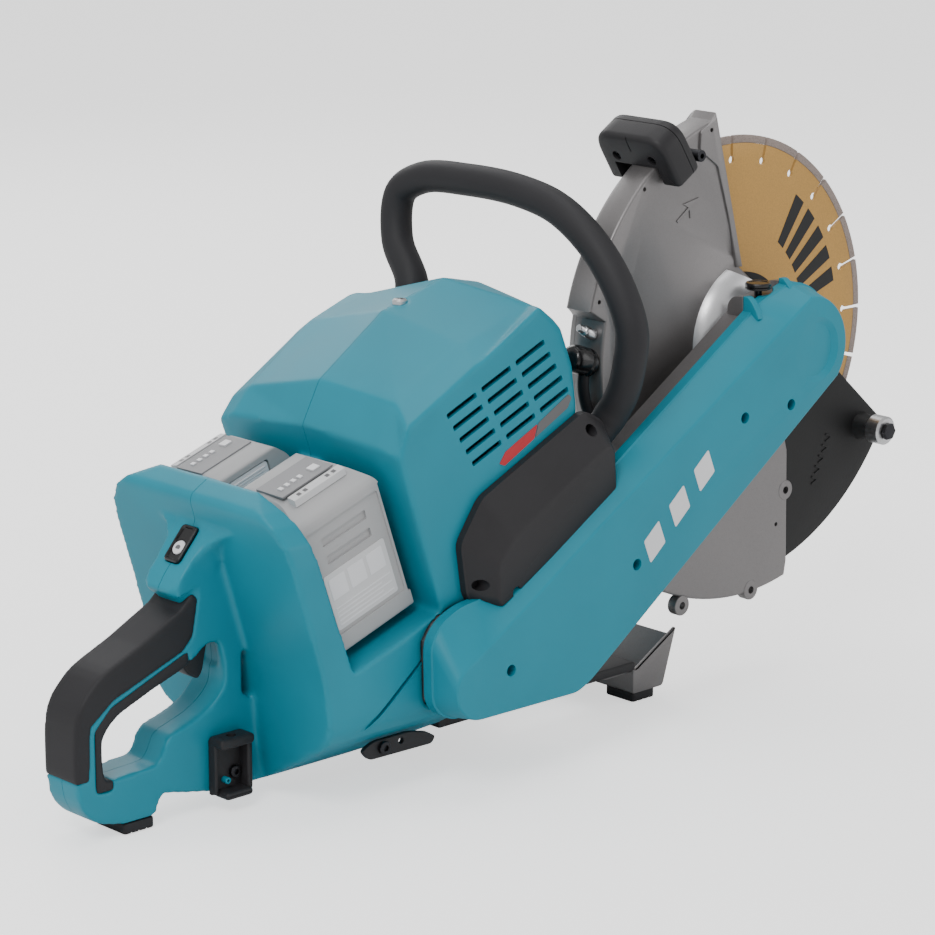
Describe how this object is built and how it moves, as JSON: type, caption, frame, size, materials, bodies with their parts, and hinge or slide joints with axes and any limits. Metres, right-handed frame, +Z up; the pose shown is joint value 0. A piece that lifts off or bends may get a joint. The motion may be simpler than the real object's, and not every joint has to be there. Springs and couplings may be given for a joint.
{
  "type": "rescue saw",
  "caption": "Battery powered rescue saw with a belt-driven cutting wheel, turning wheel guard, spring-loaded lower guard, rear loop handle and front hoop handle.",
  "frame": {"origin": "centre of the rear foot's sole, on the surface the saw stands on", "axes": "+X forward to the cutting wheel, +Y to the operator's left, +Z up; y = 0 is the seam of the two housing shells"},
  "size_m": [0.7752, 0.2661, 0.4524],
  "materials": {
    "teal_plastic": "moulded, fine texture, satin",
    "black_plastic": "moulded, fine texture",
    "rubber": "soft overmould, matt",
    "cast_aluminium": "die cast, painted silver",
    "steel": "turned and zinc plated",
    "dark_steel": "black oxide",
    "wheel_gold": "gold lacquer over steel",
    "pack_grey": "light grey moulding",
    "white_plastic": "smooth moulding",
    "winding": "laminations and copper winding"
  },
  "bodies": {
    "root": {"housing_right": "teal_plastic", "housing_left": "teal_plastic", "grip_outer": "rubber", "grip_inner": "rubber", "button_bezel": "black_plastic", "trigger_switch": "black_plastic", "terminal_block_right": "black_plastic", "terminal_block_left": "black_plastic", "controller": "black_plastic", "motor_stator": "winding", "motor_bearing_left": "steel", "motor_bearing_right": "steel", "drive_belt": "rubber", "belt_cover": "teal_plastic", "cover_screw_1": "dark_steel", "cover_screw_2": "dark_steel", "cover_screw_3": "dark_steel", "cover_screw_4": "dark_steel", "arm_casting": "cast_aluminium", "spindle_bearing_outer": "steel", "spindle_bearing_inner": "steel", "side_cover": "black_plastic", "front_handle_sleeve": "rubber", "front_handle_tube": "steel", "pod_screw": "steel", "rear_foot": "rubber", "front_foot_right": "rubber", "front_foot_left": "rubber", "front_leg": "cast_aluminium", "base_rail": "black_plastic", "dolly_bracket": "black_plastic", "dolly_bracket_screw": "dark_steel", "wrench_holder": "black_plastic", "wrench_holder_screw": "dark_steel"},
    "wheel": {"cutting_wheel": "wheel_gold", "inner_flange": "steel", "outer_flange": "steel", "wheel_bolt": "dark_steel", "spindle": "steel", "driven_pulley": "steel"},
    "motor": {"motor_rotor": "steel", "cooling_fan": "black_plastic", "drive_pulley": "steel"},
    "guard": {"guard_right": "cast_aluminium", "guard_left": "cast_aluminium", "guard_grip": "rubber", "guard_clamp_bolt": "dark_steel", "water_fitting": "black_plastic", "water_hose": "rubber", "water_nipple": "steel"},
    "lower_guard": {"lower_guard": "black_plastic", "roller_bolt": "dark_steel"},
    "roller": {"guard_roller": "steel"},
    "trigger": {"trigger": "black_plastic"},
    "lamp_button": {"lamp_button": "white_plastic"},
    "spindle_lock": {"spindle_lock_button": "black_plastic"},
    "battery_right": {"battery_pack_right": "pack_grey"},
    "battery_left": {"battery_pack_left": "pack_grey"},
    "battery_button_right": {"battery_button_right": "white_plastic"},
    "battery_button_left": {"battery_button_left": "white_plastic"}
  },
  "joints": [
    {"name": "wheel_spin", "type": "hinge", "parent": "root", "child": "wheel", "pos_m": [0.552, -0.049, 0.276], "axis": [0, 1, 0], "continuous": true},
    {"name": "motor_spin", "type": "hinge", "parent": "root", "child": "motor", "pos_m": [0.272, 0, 0.1], "axis": [0, 1, 0], "continuous": true},
    {"name": "guard_turn", "type": "hinge", "parent": "root", "child": "guard", "pos_m": [0.552, -0.049, 0.276], "axis": [0, 1, 0], "range_deg": [0, 50]},
    {"name": "lower_guard_retract", "type": "hinge", "parent": "guard", "child": "lower_guard", "pos_m": [0.552, -0.049, 0.276], "axis": [0, 1, 0], "range_deg": [0, 34], "stiffness_Nm_per_rad": 0.6, "springref_deg": -68.75},
    {"name": "roller_spin", "type": "hinge", "parent": "lower_guard", "child": "roller", "pos_m": [0.697, -0.083, 0.181], "axis": [0, 1, 0], "continuous": true},
    {"name": "trigger_pull", "type": "hinge", "parent": "root", "child": "trigger", "pos_m": [0.066, 0, 0.13], "axis": [0, 1, 0], "range_deg": [0, 11], "stiffness_Nm_per_rad": 0.4, "springref_deg": -17.19},
    {"name": "lamp_button_press", "type": "slide", "parent": "root", "child": "lamp_button", "axis": [0.7547, 0, -0.6561], "range_m": [0, 0.001], "stiffness_N_per_m": 500, "springref_m": -0.001},
    {"name": "spindle_lock_press", "type": "slide", "parent": "root", "child": "spindle_lock", "axis": [0, 0, -1], "range_m": [0, 0.003], "stiffness_N_per_m": 600, "springref_m": -0.002},
    {"name": "battery_right_slide", "type": "slide", "parent": "root", "child": "battery_right", "axis": [-0.3256, 0, 0.9455], "range_m": [0, 0.125]},
    {"name": "battery_left_slide", "type": "slide", "parent": "root", "child": "battery_left", "axis": [-0.3256, 0, 0.9455], "range_m": [0, 0.125]},
    {"name": "battery_button_right_press", "type": "slide", "parent": "battery_right", "child": "battery_button_right", "axis": [0, -1, 0], "range_m": [0, 0.0014], "stiffness_N_per_m": 500, "springref_m": -0.001},
    {"name": "battery_button_left_press", "type": "slide", "parent": "battery_left", "child": "battery_button_left", "axis": [0, 1, 0], "range_m": [0, 0.0014], "stiffness_N_per_m": 500, "springref_m": -0.001}
  ],
  "couplings": [
    {"joint": "motor_spin", "follows": "wheel_spin", "ratio": 1.8125}
  ]
}
